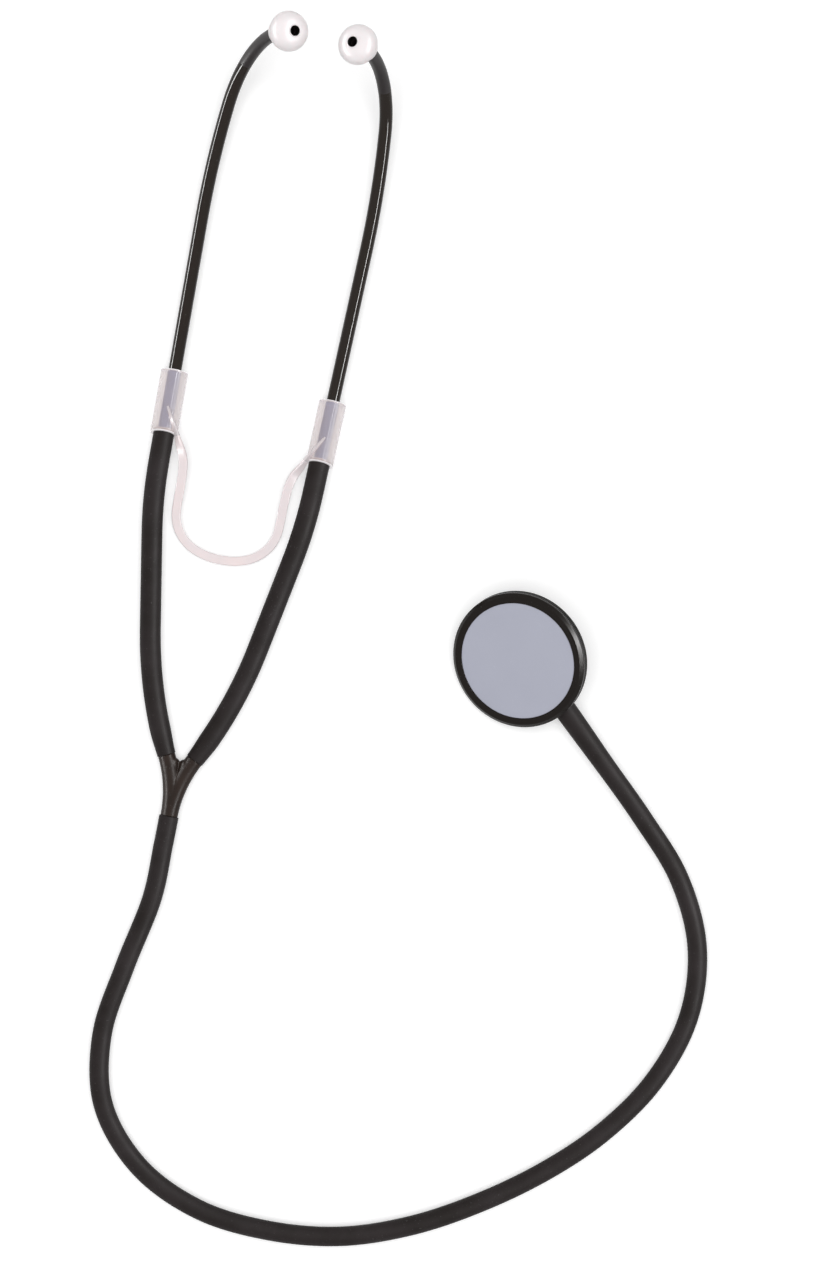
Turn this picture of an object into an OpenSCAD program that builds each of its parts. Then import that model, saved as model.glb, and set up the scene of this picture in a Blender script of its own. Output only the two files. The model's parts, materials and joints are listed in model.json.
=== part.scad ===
// Toy stethoscope, lying face up on a table as it does in the photograph.
// X runs across the table, Y from the chest piece towards the ear tips, Z up. The table is at Z = 0.
// The fork's lower shoulder starts the two arms and the main hose. The arms mirror each other.

/* [Layout] */
// Place of the fork's lower shoulder along X
fork_x = -65.3; // [-80:0.1:-50]
// Place of the fork's lower shoulder along Y
fork_y = -126.7; // [-140:0.1:-110]
// Lean of the two arms from Y towards X, in degrees
binaural_lean = 11.2; // [5:0.1:20]
// Place of the chest piece's stem axis, under the middle of the ring, along X
chest_x = 53.3; // [45:0.1:65]
// Place of the chest piece's stem axis, under the middle of the ring, along Y
chest_y = -73; // [-85:0.1:-60]
// Direction that the stem points in, from X, in degrees
stem_bearing = -54.3; // [-65:0.1:-45]
// Roll of the chest piece about its stem, with its rim or its back on the table, in degrees
chest_roll = 26; // [20:0.5:30]

/* [Fork] */
// Diameter of the fork's moulded arms
fork_arm_d = 5.8; // [5:0.1:6.4]
// Radius of the curve of each fork arm
fork_arm_curve = 44; // [36:1:60]
// Half the angle between the fork's two arms, in degrees
fork_angle = 26.8; // [22:0.1:30]
// Bore of the passages in the fork's two arms
fork_bore_d = 2.2; // [1.8:0.1:2.4]
// Bore of the passage from the main hose
fork_inlet_d = 2.8; // [2.6:0.1:3.2]
// Length of each spigot that a hose pushes over
spigot_len = 9; // [7:0.5:11]
// How far the barbs stand out of a spigot
barb_h = 0.25; // [0.15:0.05:0.4]
// Thickness of the flat web in the crotch
web_t = 2; // [1.2:0.1:3]
// Distance from the shoulder to the top of the web
web_top = 18.6; // [16:0.1:19]

/* [Branch hoses] */
// Outer diameter of the two short hoses
branch_d = 7; // [6.6:0.1:7.4]
// Bore of the two short hoses
branch_bore_d = 4.5; // [4.2:0.1:4.9]
// Radius of the first curve, above the fork
lower_curve = 147; // [120:1:180]
// Angle of the straight stretch between the curves, in degrees
middle_angle = 10.2; // [8:0.1:13]
// Length of the straight stretch between the curves
middle_len = 31.5; // [20:0.5:45]
// Radius of the second curve, below the sleeve
upper_curve = 152; // [120:1:180]
// Length of the straight stretch that ends at the sleeve
top_len = 9.4; // [8.5:0.1:14]
// Outward angle of the ear tubes, in degrees
arm_splay = 1.2; // [0:0.1:4]

/* [Sleeves and strap] */
// Outer diameter of each sleeve
sleeve_d = 9.1; // [8.6:0.1:10]
// Length of each sleeve
sleeve_len = 21.2; // [16:0.2:26]
// Depth of the socket in the sleeve that takes the hose's end
sleeve_socket = 1.4; // [1:0.1:3]
// Width of the strap between the sleeves
strap_w = 3; // [2.4:0.1:3.4]
// Thickness of the strap
strap_t = 1.3; // [1:0.1:1.6]
// How far the strap hangs below the sleeves
strap_drop = 37.3; // [32:0.1:42]

/* [Ear tubes] */
// Outer diameter of the ear tubes
tube_d = 4.4; // [4:0.1:4.6]
// Wall of the ear tubes
tube_wall = 0.6; // [0.4:0.1:0.9]
// How far an ear tube reaches into its hose, below the sleeve
tube_insert = 8; // [6:0.5:8.5]
// Length of the straight stretch above the sleeve's lower end
tube_straight = 72.6; // [60:0.2:90]
// Radius of the long gentle bend
sweep_curve = 150; // [120:1:180]
// Angle of the long gentle bend, in degrees
sweep_angle = 14.6; // [10:0.1:20]
// Radius of the tight bend towards the ear
crook_curve = 31.7; // [28:0.1:36]
// Angle of the tight bend, in degrees
crook_angle = 74; // [66:0.5:80]
// Straight stretch from the tight bend to the middle of the ear tip
tube_end = 4.5; // [4:0.1:6]
// Angle that the left tube's bend rises from the table, in degrees
left_rise = 60.7; // [57:0.1:75]
// Angle that the right tube's bend rises from the table, in degrees
right_rise = 66.1; // [60:0.1:75]

/* [Ear tips] */
// Diameter of the bulb
tip_d = 13.1; // [11:0.1:14]
// Radius of the bulb's rounded side
tip_round = 4.3; // [3.8:0.1:4.8]
// Diameter of the sound hole
tip_hole_d = 3.3; // [2.6:0.1:3.4]
// How far the tube reaches past the middle of the bulb
tip_seat = 1.4; // [0.8:0.1:2]
// Length of the skirt behind the middle of the bulb
tip_skirt = 6; // [5:0.1:7]
// Diameter of the skirt's end
skirt_d = 8; // [7.4:0.1:9]

/* [Main hose] */
// Outer diameter of the main hose
main_d = 6.5; // [6.1:0.1:7]
// Bore of the main hose
main_bore_d = 4; // [3.6:0.1:4.4]
// Outer diameter of the end that is stretched over the stem
main_end_d = 7.5; // [7.2:0.1:7.6]
// Length over which the hose widens to that end
flare_len = 34; // [20:1:50]

/* [Chest piece] */
// Outer diameter of the ring
ring_d = 46; // [44:0.5:50]
// Height of the ring
ring_h = 4.5; // [4:0.1:6]
// Height of the ring's back edge above the stem axis
ring_back = 4.1; // [4:0.1:5]
// Radial width of the ring's front face, from its outside to the opening that shows the diaphragm
ring_front_w = 3.3; // [2.8:0.1:4.5]
// Thickness of the lip over the diaphragm's edge
lip_t = 0.7; // [0.5:0.1:1]
// Radius of the ring's rounded front edge
bead_r = 0.75; // [0.5:0.05:0.9]
// Height of the ring's smooth front band
band_h = 1.5; // [1.2:0.1:2]
// Number of ridges round the ring's grip
knurl_count = 120; // [80:4:160]
// Depth of the grooves between the ridges
knurl_depth = 0.3; // [0.2:0.05:0.4]
// Radial wall of the ring's grip, outside the body's threaded rim
ring_wall = 1.45; // [1.2:0.05:1.9]
// Thickness of the diaphragm
diaphragm_t = 0.6; // [0.4:0.1:0.8]
// Radial width of the seat that the diaphragm rests on
seat_w = 2; // [1.5:0.1:3]
// Depth of the sound cavity at its edge
cavity_edge = 1; // [0.6:0.1:1.4]
// Depth of the sound cavity at its middle
cavity_depth = 2.4; // [1.8:0.1:2.8]
// Diameter of the flat hub at the body's back
hub_d = 11; // [8:0.5:16]
// Depth of the hub behind the stem axis
hub_back = 4.2; // [3.9:0.1:5]
// Outer diameter of the boss that holds the stem
boss_d = 7.6; // [7:0.1:8]
// Reach of the boss from the middle of the body
boss_reach = 18.8; // [17:0.1:19.5]
// Outer diameter of the stem
stem_d = 5.3; // [5:0.1:5.5]
// Bore of the stem
stem_bore_d = 3; // [2.6:0.1:3.6]
// Length of the stem inside the hose
stem_grip = 14.8; // [10:0.2:16]
// Length of the stem inside the boss
stem_seat = 9; // [6:0.5:12]

/* [Hidden] */
$fn = 48;
over = 0.5;            // overrun of every cut
run_fit = 0.05;        // radial clearance where one piece turns or slides in another
face_gap = 0.3;        // gap between end faces of pieces on different bodies
seam_nest = 0.01;      // how much thinner a tube's bent stretch is than the straight ones it runs into
seam_bite = 0.3;       // how far a bent stretch runs into a straight one
seam_len = 1;          // shortest straight stretch between two bends
ridge_inset = 0.05;    // how far the grip's ridges stay inside the ring's smooth band
LEFT = -1;
RIGHT = 1;

// Sizes that follow
fork_arm_r = fork_arm_d / 2;
branch_r = branch_d / 2;
branch_bore_r = branch_bore_d / 2;
sleeve_r = sleeve_d / 2;
tube_r = tube_d / 2;
tube_bore_r = tube_r - tube_wall;
main_r = main_d / 2;
main_bore_r = main_bore_d / 2;
ring_r = ring_d / 2;
rim_r = ring_r - ring_wall - run_fit;
opening_r = ring_r - ring_front_w;
stem_r = stem_d / 2;
fork_spigot_r = main_bore_r - run_fit;
branch_spigot_r = branch_bore_r - barb_h / 2;
sleeve_bore_r = tube_r + run_fit;
socket_r = branch_r + run_fit;
fork_height = main_r + barb_h / 2;
ring_front = ring_back + ring_h;
seat_h = ring_front - lip_t - run_fit - diaphragm_t;
diaphragm_r = rim_r - face_gap;
seat_inner_r = rim_r - seat_w;
stem_height = max(
    ring_r * sin(chest_roll) - ring_back * cos(chest_roll), hub_d / 2 * sin(chest_roll) + hub_back * cos(chest_roll)
);
hose_end = boss_reach + face_gap;

// A run starts heading along Z and bends towards X. Angles here are from the arms' middle line.
function step_across(r, from, to) = r * (cos(to) - cos(from));
function step_along(r, from, to) = r * (sin(from) - sin(to));
fork_end = [fork_arm_curve * (1 - cos(fork_angle)), fork_arm_curve * sin(fork_angle)];
sleeve_at = fork_end
    + [step_across(lower_curve, fork_angle, middle_angle), step_along(lower_curve, fork_angle, middle_angle)]
    + middle_len * [sin(middle_angle), cos(middle_angle)]
    + [step_across(upper_curve, middle_angle, arm_splay), step_along(upper_curve, middle_angle, arm_splay)]
    + top_len * [sin(arm_splay), cos(arm_splay)];

// The sleeves rest on the table, and the fork lies a little lower, on the hose.
binaural_pitch = asin((sleeve_r - fork_height) / sleeve_at.y);

function turn_x(a, p) = [p.x, p.y * cos(a) - p.z * sin(a), p.y * sin(a) + p.z * cos(a)];
function turn_z(a, p) = [p.x * cos(a) - p.y * sin(a), p.x * sin(a) + p.y * cos(a), p.z];
function fork_point(p) = [fork_x, fork_y, fork_height] + turn_z(-binaural_lean, turn_x(binaural_pitch, p));
function chest_point(p) = [chest_x, chest_y, stem_height] + turn_z(stem_bearing, turn_x(chest_roll, p));

// The main hose's route on the table, from the fork round to the chest piece
route_points = [
    [-71.1, -154.5, 3.4], [-80.1, -177, 3.4], [-87.6, -199.5, 3.4], [-87.1, -223, 3.4], [-75.1, -243.5, 3.4],
    [-55.6, -257.5, 3.4], [-32.6, -264.5, 3.4], [-8.6, -266.5, 3.4], [14.9, -263, 3.4], [37.4, -255.5, 3.4],
    [59.4, -245, 3.4], [78.9, -232, 3.4], [95.9, -215, 3.4], [107.4, -194, 3.4], [110.4, -170.5, 3.4],
    [104.4, -147.5, 3.5], [91.9, -127, 4.4], [77.9, -107.3, 5.9]
];
hose_lead = spigot_len + seam_len;     // straight stretch at each end of the main hose
hose_sides = 12;
rings_per_span = 2;

module in_fork()
    translate([fork_x, fork_y, fork_height]) rotate([0, 0, -binaural_lean]) rotate([binaural_pitch, 0, 0])
        children();

module on_side(side)
    mirror([side == LEFT ? 1 : 0, 0, 0]) children();

// Stands at the sleeve's lower end, with Y along the ear tube's axis
module in_arm(side)
    in_fork() on_side(side) translate([sleeve_at.x, sleeve_at.y, 0]) rotate([0, 0, -arm_splay]) children();

// Turns Z to Y, and X towards the other arm and up by the rise
module along_arm(rise)
    rotate([-90, 0, 0]) rotate([0, 0, 180 + rise]) children();

module in_chest()
    translate([chest_x, chest_y, stem_height]) rotate([0, 0, stem_bearing]) rotate([chest_roll, 0, 0])
        children();

// Turns Z to the stem's direction
module along_stem()
    rotate([0, 90, 0]) children();

module arc_rod(curve, angle, r)
    translate([curve, 0, 0]) rotate([0, 0, 180]) rotate([90, 0, 0])
        rotate_extrude(angle = angle) translate([curve, 0]) circle(r);

// Bent stretch of a tube. Its wall nests inside the straight stretches' walls at both ends.
module arc_tube(curve, angle, r, bore_r, before = seam_bite) {
    back = before / curve * 180 / PI;
    ahead = seam_bite / curve * 180 / PI;
    translate([curve, 0, 0]) rotate([0, 0, 180]) rotate([90, 0, 0]) rotate([0, 0, -back])
        rotate_extrude(angle = angle + back + ahead) translate([curve, 0]) difference() {
            circle(r - seam_nest);
            circle(bore_r + seam_nest);
        }
}

module straight_tube(r, bore_r, len)
    linear_extrude(len) difference() {
        circle(r);
        circle(bore_r);
    }

module after_arc(curve, angle)
    translate([curve * (1 - cos(angle)), 0, curve * sin(angle)]) rotate([0, angle, 0]) children();

// Spigot along Z with two barbs that bite into the hose
module spigot(r, len) {
    barb_len = len / 4;
    translate([0, 0, -over]) cylinder(r = r, h = len + over);
    for (k = [2, 3])
        translate([0, 0, k * barb_len]) cylinder(r1 = r + barb_h, r2 = r, h = barb_len);
}

// Half of the fork on the right of its middle plane
module fork_half()
    intersection() {
        rotate([-90, 0, 0]) arc_rod(fork_arm_curve, fork_angle, fork_arm_r);
        translate([0, -over, -fork_arm_d])
            cube([fork_end.x + fork_arm_d, fork_end.y + fork_arm_d, 2 * fork_arm_d]);
    }

// Stands at the end of the right fork arm, with Z along the hose
module at_fork_end()
    translate([fork_end.x, fork_end.y, 0]) rotate([0, 0, -fork_angle]) rotate([-90, 0, 0]) children();

module y_connector() {
    web_half = fork_end.x * web_top / fork_end.y;
    bore_meet = fork_end.x / sin(fork_angle);     // the straight bores meet on the middle plane
    color("#2b2522") in_fork() difference() {
        union() {
            for (side = [LEFT, RIGHT]) on_side(side) {
                fork_half();
                at_fork_end() spigot(branch_spigot_r, spigot_len);
            }
            rotate([90, 0, 0]) spigot(fork_spigot_r, spigot_len);
            translate([0, 0, -web_t / 2]) linear_extrude(web_t)
                polygon([[0, web_top / 2], [web_half, web_top], [-web_half, web_top]]);
        }
        translate([0, fork_end.y - bore_meet * cos(fork_angle) + fork_inlet_d / 2, 0]) rotate([90, 0, 0])
            cylinder(r = fork_inlet_d / 2, h = fork_end.y + fork_inlet_d + spigot_len);
        for (side = [LEFT, RIGHT]) on_side(side) at_fork_end()
            translate([0, 0, -bore_meet]) cylinder(r = fork_bore_d / 2, h = bore_meet + spigot_len + over);
    }
}

// Hose from the fork arm's end to the socket in the sleeve
module branch_tube(side) {
    first = fork_angle - middle_angle;
    second = middle_angle - arm_splay;
    color("#302e30") in_fork() on_side(side) at_fork_end() rotate([0, 0, 180]) {
        arc_tube(lower_curve, first, branch_r, branch_bore_r, before = 0);
        after_arc(lower_curve, first) {
            straight_tube(branch_r, branch_bore_r, middle_len);
            translate([0, 0, middle_len]) {
                arc_tube(upper_curve, second, branch_r, branch_bore_r);
                after_arc(upper_curve, second)
                    straight_tube(branch_r, branch_bore_r, top_len + sleeve_socket - run_fit);
            }
        }
    }
}

module left_branch_tube() branch_tube(LEFT);
module right_branch_tube() branch_tube(RIGHT);

// Strap path, from the pointed root on the sleeve's front down to the lowest point, in the arms' frame.
// Shares of the sleeve's place across, of the drop below it and of the sleeve's radius above the axis.
strap_shares = [
    [1.01, 0.25, 0.86, 0.75], [0.855, 0.055, 0.7, 0.75], [0.775, -0.062, 0.66, 0.62], [0.712, -0.15, 0.6, 0.35],
    [0.675, -0.255, 0.48, 0.12], [0.662, -0.4, 0.3, 0], [0.66, -0.55, 0.1, 0], [0.645, -0.7, -0.1, 0],
    [0.562, -0.831, -0.22, 0], [0.41, -0.93, -0.3, 0], [0.209, -0.985, -0.34, 0], [0, -1, -0.35, 0]
];
strap_half = [for (s = strap_shares)
    [s[0] * sleeve_at.x, sleeve_at.y + s[1] * strap_drop, s[2] * sleeve_r, 90 * s[3]]];
strap_last = len(strap_half) - 1;
strap_start = 2;    // point of the path, just below the sleeve, where its root ends and the strap begins
strap_path = concat(
    [for (p = strap_half) [p.x, p.y, p.z]],
    [for (i = [strap_last - 1 : -1 : 0]) [-strap_half[i].x, strap_half[i].y, strap_half[i].z]]
);
strap_turn = concat([for (p = strap_half) p[3]], [for (i = [strap_last - 1 : -1 : 0]) -strap_half[i][3]]);

function unit(v) = v / norm(v);
function heading(path, i) = unit(path[min(i + 1, len(path) - 1)] - path[max(i - 1, 0)]);

// Chamfered rectangle round one point of the strap's path, turned about the path
function strap_ring(i, grow) =
    let (
        along = heading(strap_path, i),
        flat = unit(cross(along, [0, 0, 1])),
        thick = cross(flat, along),
        a = strap_turn[i],
        wide = flat * cos(a) + thick * sin(a),
        deep = thick * cos(a) - flat * sin(a),
        w = grow * strap_w / 2,
        t = grow * strap_t / 2,
        c = t / 2
    )
    [for (q = [[w, t - c], [w - c, t], [c - w, t], [-w, t - c], [-w, c - t], [c - w, -t], [w - c, -t], [w, c - t]])
        strap_path[i] + q.x * wide + q.y * deep];

// Closed skin over a row of equal rings
module skin(rings) {
    n = len(rings[0]);
    last = len(rings) - 1;
    polyhedron(
        points = [for (r = rings) for (p = r) p],
        faces = concat(
            [for (j = [1 : n - 2]) [0, j, j + 1]],
            [for (i = [0 : last - 1]) for (j = [0 : n - 1]) for (half = [0, 1])
                half == 0 ? [i * n + j, (i + 1) * n + j, (i + 1) * n + (j + 1) % n]
                : [i * n + j, (i + 1) * n + (j + 1) % n, i * n + (j + 1) % n]],
            [for (j = [1 : n - 2]) [last * n, last * n + j + 1, last * n + j]]
        )
    );
}

module tension_strap() {
    strap_end = len(strap_path) - 1 - strap_start;
    gap = run_fit * heading(strap_path, strap_start);
    back_gap = run_fit * heading(strap_path, strap_end);
    color("#ebe1e2") in_fork() skin([for (i = [strap_start : strap_end])
        [for (p = strap_ring(i, 1)) i == strap_start ? p + gap : i == strap_end ? p - back_gap : p]]);
}

// Short root of the strap, moulded on the sleeve's front, from the strap's flat end to a narrow tip
module strap_root() {
    tip_share = 0.3;
    along = -heading(strap_path, strap_start);
    flat = unit(cross(along, [0, 0, 1]));
    thick = cross(flat, along);
    a = -strap_turn[strap_start];
    wide = flat * cos(a) + thick * sin(a);
    deep = thick * cos(a) - flat * sin(a);
    at = strap_path[strap_start];
    root_len = norm(at - strap_path[0]);
    multmatrix([
        [wide.x, along.x, deep.x, at.x], [wide.y, along.y, deep.y, at.y], [wide.z, along.z, deep.z, at.z]
    ])
        translate([0, 0, -strap_t / 2]) linear_extrude(strap_t) polygon([
            [-strap_w / 2, 0], [strap_w / 2, 0],
            [tip_share * strap_w / 2, root_len],
            [-tip_share * strap_w / 2, root_len]
        ]);
}

module collar(side)
    color("#dcd6da") difference() {
        union() {
            in_arm(side) rotate([-90, 0, 0]) cylinder(r = sleeve_r, h = sleeve_len);
            in_fork() on_side(side) strap_root();
        }
        in_arm(side) rotate([-90, 0, 0]) {
            translate([0, 0, -over]) cylinder(r = sleeve_bore_r, h = sleeve_len + 2 * over);
            translate([0, 0, -over]) cylinder(r = socket_r, h = sleeve_socket + over);
        }
    }

module left_collar() collar(LEFT);
module right_collar() collar(RIGHT);

module ear_tube(side, rise)
    color("#1b1a1b") in_arm(side) along_arm(rise) {
        translate([0, 0, -tube_insert]) straight_tube(tube_r, tube_bore_r, tube_insert + tube_straight);
        translate([0, 0, tube_straight]) {
            arc_tube(sweep_curve, sweep_angle, tube_r, tube_bore_r);
            after_arc(sweep_curve, sweep_angle) {
                straight_tube(tube_r, tube_bore_r, seam_len);
                translate([0, 0, seam_len]) {
                    arc_tube(crook_curve, crook_angle, tube_r, tube_bore_r);
                    after_arc(crook_curve, crook_angle)
                        straight_tube(tube_r, tube_bore_r, tube_end + tip_seat);
                }
            }
        }
    }

module left_ear_tube() ear_tube(LEFT, left_rise);
module right_ear_tube() ear_tube(RIGHT, right_rise);

// Soft tip round its own middle, with Z along the sound hole, out of the ear tube
module tip_body() {
    bore_r = tube_r + run_fit;
    difference() {
        rotate_extrude() union() {
            intersection() {
                translate([tip_d / 2 - tip_round, 0]) circle(tip_round);
                translate([0, -tip_d]) square([tip_d, 2 * tip_d]);
            }
            polygon([[0, -tip_skirt], [skirt_d / 2, -tip_skirt], [tip_d / 2 - face_gap, 0], [0, 0]]);
        }
        translate([0, 0, -tip_skirt - over]) cylinder(r = bore_r, h = tip_skirt + tip_seat + face_gap + over);
        translate([0, 0, -tip_skirt - over])
            cylinder(r1 = skirt_d / 2 - face_gap, r2 = bore_r, h = tip_skirt - tube_end + 2 * over);
        cylinder(r = tip_hole_d / 2, h = tip_round + over);
    }
}

module ear_tip(side, rise)
    color("#f3ebee") in_arm(side) along_arm(rise) translate([0, 0, tube_straight])
        after_arc(sweep_curve, sweep_angle) translate([0, 0, seam_len]) after_arc(crook_curve, crook_angle)
            translate([0, 0, tube_end]) tip_body();

module left_ear_tip() ear_tip(LEFT, left_rise);
module right_ear_tip() ear_tip(RIGHT, right_rise);

// Smooth curve through the route's points
route = concat(
    [fork_point([0, 0, 0]), fork_point([0, -hose_lead, 0])],
    route_points,
    [chest_point([hose_end + hose_lead, 0, 0]), chest_point([hose_end, 0, 0])]
);
route_last = len(route) - 1;
function spline(i, t) =
    let (
        a = route[max(i - 1, 0)],
        b = route[i],
        c = route[i + 1],
        d = route[min(i + 2, route_last)],
        out = (c - a) / 2,
        back = (d - b) / 2
    )
    b + t * out + t * t * (3 * (c - b) - 2 * out - back) + t * t * t * (2 * (b - c) + out + back);
hose_centres = concat(
    [for (i = [0 : route_last - 1]) for (k = [0 : rings_per_span - 1]) spline(i, k / rings_per_span)],
    [route[route_last]]
);

// The hose widens smoothly towards the chest piece
function hose_r(p) =
    let (x = max(0, 1 - norm(p - route[route_last]) / flare_len))
    main_r + (main_end_d / 2 - main_r) * x * x * (3 - 2 * x);
function hose_ring(i, r) =
    let (
        along = heading(hose_centres, i),
        flat = unit(cross(along, [0, 0, 1])),
        up = cross(flat, along)
    )
    [for (j = [0 : hose_sides - 1])
        hose_centres[i] + r * (flat * cos(j * 360 / hose_sides) + up * sin(j * 360 / hose_sides))];

// Outer and inner wall of the hose in one closed skin, with a flat ring at each end
module hose_wall() {
    n = hose_sides;
    last = len(hose_centres) - 1;
    all_rings = (last + 1) * n;
    outer = [for (i = [0 : last]) for (p = hose_ring(i, hose_r(hose_centres[i]))) p];
    inner = [for (i = [0 : last]) for (p = hose_ring(i, main_bore_r)) p];
    polyhedron(
        points = concat(outer, inner),
        faces = concat(
            [for (i = [0 : last - 1]) for (j = [0 : n - 1]) for (half = [0, 1])
                let (a = i * n + j, b = i * n + (j + 1) % n, c = a + n, d = b + n)
                half == 0 ? [a, c, d] : [a, d, b]],
            [for (i = [0 : last - 1]) for (j = [0 : n - 1]) for (half = [0, 1])
                let (a = all_rings + i * n + j, b = all_rings + i * n + (j + 1) % n, c = a + n, d = b + n)
                half == 0 ? [a, d, c] : [a, b, d]],
            [for (j = [0 : n - 1]) for (half = [0, 1])
                let (a = j, b = (j + 1) % n, c = a + all_rings, d = b + all_rings)
                half == 0 ? [a, b, d] : [a, d, c]],
            [for (j = [0 : n - 1]) for (half = [0, 1])
                let (a = last * n + j, b = last * n + (j + 1) % n, c = a + all_rings, d = b + all_rings)
                half == 0 ? [a, d, b] : [a, c, d]]
        )
    );
}

module main_tube()
    color("#302e30") difference() {
        hose_wall();
        in_fork() translate([0, over, 0]) rotate([90, 0, 0]) cylinder(r = main_bore_r, h = spigot_len + 2 * over);
        in_chest() translate([hose_end - over, 0, 0]) along_stem()
            cylinder(r = stem_r + run_fit, h = stem_grip + face_gap + over);
    }

module chest_stem() {
    color("#8c8a8c") in_chest() translate([boss_reach - stem_seat, 0, 0]) along_stem() difference() {
        cylinder(r = stem_r, h = stem_seat + stem_grip);
        translate([0, 0, -over]) cylinder(r = stem_bore_d / 2, h = stem_seat + stem_grip + 2 * over);
    }
}

module chest_body() {
    flange_h = ring_back + face_gap / 2;
    cone_r = hose_end - face_gap;
    floor_r = stem_bore_d / 2;
    color("#262220") in_chest() difference() {
        union() {
            rotate_extrude() polygon([
                [0, -hub_back], [hub_d / 2, -hub_back], [cone_r, flange_h], [rim_r, flange_h], [rim_r, seat_h],
                [seat_inner_r, seat_h], [seat_inner_r, seat_h - cavity_edge], [floor_r, seat_h - cavity_depth],
                [0, seat_h - cavity_depth]
            ]);
            along_stem() cylinder(d = boss_d, h = boss_reach);
        }
        cylinder(r = floor_r, h = seat_h);
        along_stem() cylinder(d = stem_bore_d, h = boss_reach);
        translate([boss_reach - stem_seat, 0, 0]) along_stem() cylinder(r = stem_r, h = stem_seat + over);
    }
}

// Outline of the grip, with a ridge and a groove at each step
function knurl_outline() = [for (k = [0 : 2 * knurl_count - 1])
    (ring_r - (k % 2 == 0 ? ridge_inset : knurl_depth)) * [cos(k * 180 / knurl_count), sin(k * 180 / knurl_count)]];

module retaining_ring() {
    inner_r = rim_r + run_fit;
    color("#262220") in_chest() union() {
        translate([0, 0, ring_back]) linear_extrude(ring_h - band_h) difference() {
            polygon(knurl_outline());
            circle(inner_r);
        }
        translate([0, 0, ring_front - band_h]) rotate_extrude() difference() {
            union() {
                square([ring_r, band_h - bead_r]);
                square([ring_r - bead_r, band_h]);
                translate([ring_r - bead_r, band_h - bead_r]) circle(bead_r);
            }
            square([inner_r, band_h - lip_t]);
            square([opening_r, band_h]);
        }
    }
}

module diaphragm()
    color("#aeb2be") in_chest() translate([0, 0, seat_h]) cylinder(r = diaphragm_r, h = diaphragm_t);

y_connector();
main_tube();
left_branch_tube();
right_branch_tube();
left_collar();
right_collar();
tension_strap();
left_ear_tube();
right_ear_tube();
left_ear_tip();
right_ear_tip();
chest_body();
chest_stem();
retaining_ring();
diaphragm();
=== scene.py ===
"""Toy stethoscope lying face up on a pale table: how every surface of it looks.

Lengths are in metres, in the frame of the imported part. X runs across the table, Y from the chest piece
towards the ear tips, and Z up. Each operator makes one piece or one group of like pieces.
"""

import json
import math

import bmesh
import bpy
from bpy.props import FloatProperty, FloatVectorProperty, IntProperty, PointerProperty
from mathutils import Matrix, Vector


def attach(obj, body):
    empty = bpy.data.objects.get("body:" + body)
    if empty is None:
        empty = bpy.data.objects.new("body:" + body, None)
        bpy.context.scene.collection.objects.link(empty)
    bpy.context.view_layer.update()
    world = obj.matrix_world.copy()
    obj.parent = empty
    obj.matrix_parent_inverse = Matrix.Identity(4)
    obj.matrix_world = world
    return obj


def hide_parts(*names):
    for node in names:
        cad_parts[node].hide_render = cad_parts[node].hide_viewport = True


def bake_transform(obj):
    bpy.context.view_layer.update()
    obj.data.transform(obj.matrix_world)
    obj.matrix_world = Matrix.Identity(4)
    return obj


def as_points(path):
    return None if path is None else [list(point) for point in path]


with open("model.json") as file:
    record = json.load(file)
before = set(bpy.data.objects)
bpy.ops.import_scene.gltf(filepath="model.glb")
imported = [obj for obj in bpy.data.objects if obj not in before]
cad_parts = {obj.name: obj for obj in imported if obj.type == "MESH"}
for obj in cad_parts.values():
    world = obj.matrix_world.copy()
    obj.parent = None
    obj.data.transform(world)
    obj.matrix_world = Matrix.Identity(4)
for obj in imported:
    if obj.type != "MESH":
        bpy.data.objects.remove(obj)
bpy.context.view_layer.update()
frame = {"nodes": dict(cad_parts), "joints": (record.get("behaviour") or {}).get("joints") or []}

bl_info = {
    "name": "Toy stethoscope",
    "version": (1, 0, 0),
    "blender": (4, 5, 0),
    "location": "3D View > Sidebar > Stethoscope",
    "description": "Dresses the packed stethoscope with its hoses, mouldings, ear tips and light",
    "category": "Add Mesh",
}

MM = 0.001
LEFT, RIGHT = -1, 1
NAME = {LEFT: "left", RIGHT: "right"}
STRIP = {LEFT: "Left strip", RIGHT: "Right strip"}
JOINTS = {joint["name"]: joint for joint in frame["joints"]}

# Sides of the round pieces, and steps along the long ones
TUBE_SIDES = 48
ROD_SIDES = 32
TURNED_SIDES = 64
BODY_SIDES = 144
FILM_SIDES = 128
MAIN_STEP = 1.6 * MM
SHORT_STEP = 1.2 * MM

# The gap of a close fit, and a length that is as good as none
FIT = 0.05 * MM
TINY = 1e-7

# Places that the pieces share with the solids
FORK_AT = Vector((-65.3, -126.7, 3.375)) * MM
FORK_LEAN = math.radians(11.2)
FORK_PITCH = math.radians(0.542)
HEAD_AT = Vector((53.3, -73, 6.3975)) * MM
STEM_BEARING = math.radians(-54.3)
HEAD_ROLL = math.radians(26)
QUARTER_TURN = math.pi / 2
FORK = (
    Matrix.Translation(FORK_AT) @ Matrix.Rotation(-FORK_LEAN, 4, "Z") @ Matrix.Rotation(FORK_PITCH, 4, "X")
)
HEAD = (
    Matrix.Translation(HEAD_AT) @ Matrix.Rotation(STEM_BEARING, 4, "Z") @ Matrix.Rotation(HEAD_ROLL, 4, "X")
)
ALONG_STEM = HEAD @ Matrix.Rotation(QUARTER_TURN, 4, "Y")

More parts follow.
